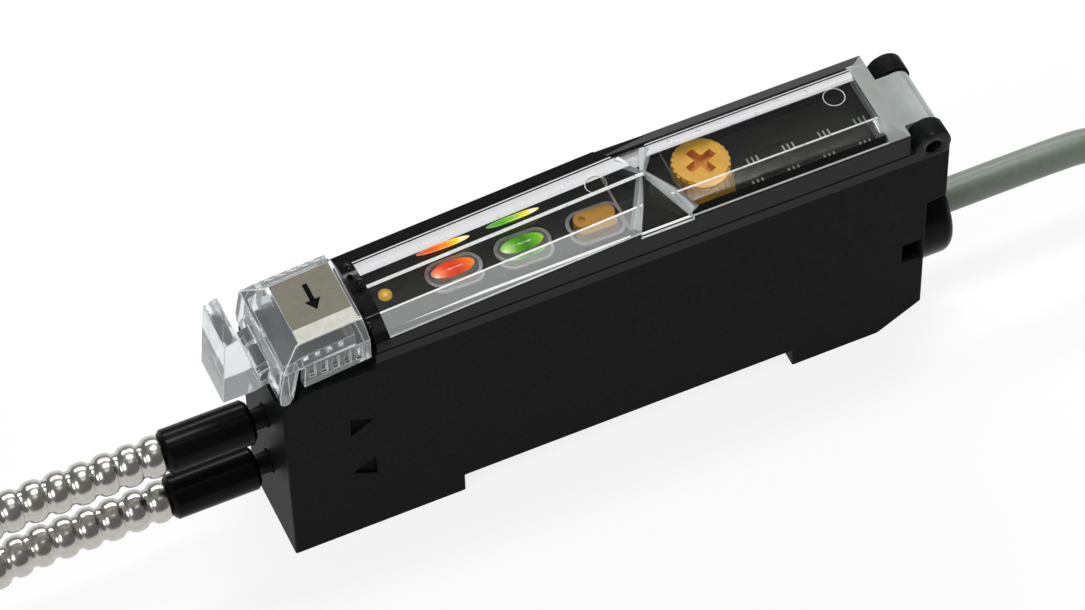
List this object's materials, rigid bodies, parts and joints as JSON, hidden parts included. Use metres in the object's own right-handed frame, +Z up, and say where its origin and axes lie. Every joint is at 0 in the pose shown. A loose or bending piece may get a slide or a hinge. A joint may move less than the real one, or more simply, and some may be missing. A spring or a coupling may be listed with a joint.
{
  "type": "fibre optic sensor amplifier",
  "caption": "Slim rail-mounted fibre optic sensor amplifier: black case, clear hinged cover over lamps and adjusting screw, clear fibre clamp lever, armoured fibres and cable.",
  "frame": {"origin": "middle of the object's footprint on the surface its feet stand on", "axes": "+X back towards the cable, +Y to the lid side, +Z up"},
  "size_m": [0.2952, 0.0328, 0.0329],
  "materials": {
    "black_case": "fine matt moulded",
    "panel_grey": "matt moulded",
    "collar_grey": "matt",
    "lamp_red": "lit translucent lens",
    "lamp_green": "lit translucent lens",
    "lamp_amber": "translucent lens",
    "screw_yellow": "moulded",
    "button_ochre": "moulded",
    "clear_plastic": "clear polished plastic",
    "steel": "turned",
    "foil": "brushed foil",
    "board_green": "solder mask",
    "led_white": "encapsulated",
    "switch_black": "moulded",
    "pot_blue": "moulded",
    "black_rubber": "smooth soft",
    "cable_grey": "smooth sheath",
    "tie_black": "moulded strap",
    "jacket_grey": "smooth jacket",
    "armour_steel": "bright corrugated stainless steel"
  },
  "bodies": {
    "case": {"housing": "black_case", "side_lid": "black_case", "control_panel": "panel_grey", "lamp_collars": "collar_grey", "red_window": "lamp_red", "green_window": "lamp_green", "dot_window": "lamp_amber", "hinge_pin": "steel", "display_board": "board_green", "main_board": "board_green", "red_led": "led_white", "green_led": "led_white", "dot_led": "led_white", "push_switch": "switch_black", "potentiometer": "pot_blue", "optics_block": "switch_black", "emitter": "switch_black", "receiver": "switch_black", "cable_gland": "black_rubber", "cable_tube": "cable_grey", "cable_coil": "cable_grey", "cable_tie": "tie_black", "fibre_sleeve_upper": "black_rubber", "fibre_sleeve_lower": "black_rubber", "fibre_jacket_upper": "jacket_grey", "fibre_jacket_lower": "jacket_grey", "fibre_tube_upper": "armour_steel", "fibre_tube_lower": "armour_steel", "fibre_coil_upper": "armour_steel", "fibre_coil_lower": "armour_steel", "fibre_tie": "tie_black", "fibre_tip_upper": "steel", "fibre_tip_lower": "steel"},
    "cover": {"cover": "clear_plastic"},
    "lever": {"clamp_lever": "clear_plastic", "lever_foil": "foil"},
    "screw": {"adjust_screw": "screw_yellow"},
    "button": {"set_button": "button_ochre"}
  },
  "joints": [
    {"name": "cover_hinge", "type": "hinge", "parent": "case", "child": "cover", "pos_m": [0.03447, 0, 0.027], "axis": [0, 1, 0], "range_deg": [0, 110]},
    {"name": "lever_hinge", "type": "hinge", "parent": "case", "child": "lever", "pos_m": [-0.03288, 0, 0.0247], "axis": [0, -1, 0], "range_deg": [0, 55]},
    {"name": "screw_turn", "type": "hinge", "parent": "case", "child": "screw", "pos_m": [0.01238, 0, 0.028], "axis": [0, 0, 1], "continuous": true},
    {"name": "button_press", "type": "slide", "parent": "case", "child": "button", "axis": [0, 0, -1], "range_m": [0, 0.00035], "stiffness_N_per_m": 300}
  ]
}
